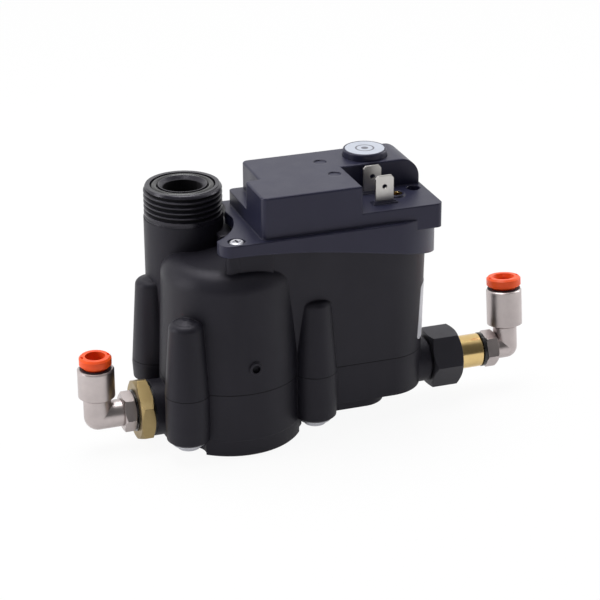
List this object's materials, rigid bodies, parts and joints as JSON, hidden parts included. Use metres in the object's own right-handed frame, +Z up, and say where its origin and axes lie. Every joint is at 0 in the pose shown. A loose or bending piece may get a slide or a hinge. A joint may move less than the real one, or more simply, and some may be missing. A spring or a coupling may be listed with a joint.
{
  "type": "automatic drain valve",
  "caption": "Electronic level-controlled condensate drain with threaded inlet pipe, collector bowl, test button, power blades and swivel push-in hose fittings",
  "frame": {"origin": "centre of the inlet pipe's end face, on the pipe's axis", "axes": "+X along the long side towards the outlet, +Y to the back, +Z up along the inlet pipe"},
  "size_m": [0.161, 0.056, 0.091],
  "materials": {
    "housing_black": "fine spark-eroded moulding texture, glass-filled polyamide",
    "cover_blue_black": "smooth satin moulding",
    "black_plastic": "plain moulded",
    "nickel": "nickel plate on turned brass, bright with fine turning lines",
    "brass": "bare turned brass",
    "steel": "zinc plated or plain stainless",
    "tin": "tin plated brass strip",
    "orange_plastic": "polished acetal",
    "rubber": "smooth moulded rubber",
    "label_grey": "laminated film",
    "label_white": "printed film",
    "clear_plastic": "clear polycarbonate",
    "board_green": "solder mask",
    "coil_resin": "wound wire under resin",
    "probe_white": "fluoroplastic sleeve"
  },
  "bodies": {
    "drain_body": {"housing": "housing_black", "bottom_cover": "housing_black", "bottom_cover_seal": "rubber", "bottom_cover_screws": "steel", "electronics_cap": "cover_blue_black", "cap_gasket": "rubber", "cap_screws": "steel", "inlet_o_ring": "rubber", "test_button_spring": "steel", "circuit_board": "board_green", "light_guides": "clear_plastic", "power_blade_front": "tin", "power_blade_back": "tin", "terminal_insert": "brass", "level_sensor_probe": "probe_white", "probe_seal": "rubber", "core_tube": "steel", "armature_spring": "steel", "solenoid_coil": "coil_resin", "coil_yoke": "steel", "diaphragm": "rubber", "diaphragm_spring": "steel", "outlet_union_nut": "black_plastic", "outlet_seal_ring": "rubber", "outlet_nipple": "brass", "outlet_stud_seal": "rubber", "outlet_stud": "nickel", "vent_reducer": "brass", "vent_reducer_seal": "rubber", "vent_stud_seal": "rubber", "vent_stud": "nickel", "name_label": "label_white"},
    "button": {"test_button": "cover_blue_black", "test_button_clip": "black_plastic", "test_button_label": "label_grey"},
    "armature": {"armature": "steel"},
    "valve_plate": {"diaphragm_plate": "black_plastic"},
    "outlet_elbow": {"outlet_elbow": "nickel", "outlet_collet_holder": "black_plastic", "outlet_grip_ring": "steel", "outlet_tube_seal": "rubber"},
    "outlet_collar": {"outlet_release_collar": "orange_plastic"},
    "vent_elbow": {"vent_elbow": "nickel", "vent_collet_holder": "black_plastic", "vent_grip_ring": "steel", "vent_tube_seal": "rubber"},
    "vent_collar": {"vent_release_collar": "orange_plastic"}
  },
  "joints": [
    {"name": "test_button_press", "type": "slide", "parent": "drain_body", "child": "button", "axis": [0, 0, -1], "range_m": [0, 0.0012], "stiffness_N_per_m": 900, "springref_m": -0.001, "deforming": ["test_button_spring"]},
    {"name": "armature_lift", "type": "slide", "parent": "drain_body", "child": "armature", "axis": [0, 0, 1], "range_m": [0, 0.001], "stiffness_N_per_m": 700, "springref_m": -0.002, "deforming": ["armature_spring"]},
    {"name": "diaphragm_lift", "type": "slide", "parent": "drain_body", "child": "valve_plate", "axis": [0, 0, 1], "range_m": [0, 0.002], "stiffness_N_per_m": 600, "springref_m": -0.002, "deforming": ["diaphragm", "diaphragm_spring"]},
    {"name": "outlet_elbow_swivel", "type": "hinge", "parent": "drain_body", "child": "outlet_elbow", "pos_m": [0.112, -0.0172, -0.0694], "axis": [1, 0, 0], "continuous": true},
    {"name": "outlet_release_press", "type": "slide", "parent": "outlet_elbow", "child": "outlet_collar", "axis": [0, -0.1305, -0.9914], "range_m": [0, 0.00075], "stiffness_N_per_m": 800, "springref_m": -0.0005},
    {"name": "vent_elbow_swivel", "type": "hinge", "parent": "drain_body", "child": "vent_elbow", "pos_m": [-0.0366, -0.0172, -0.0722], "axis": [1, 0, 0], "continuous": true},
    {"name": "vent_release_press", "type": "slide", "parent": "vent_elbow", "child": "vent_collar", "axis": [0, 0, -1], "range_m": [0, 0.00075], "stiffness_N_per_m": 800, "springref_m": -0.0005}
  ]
}
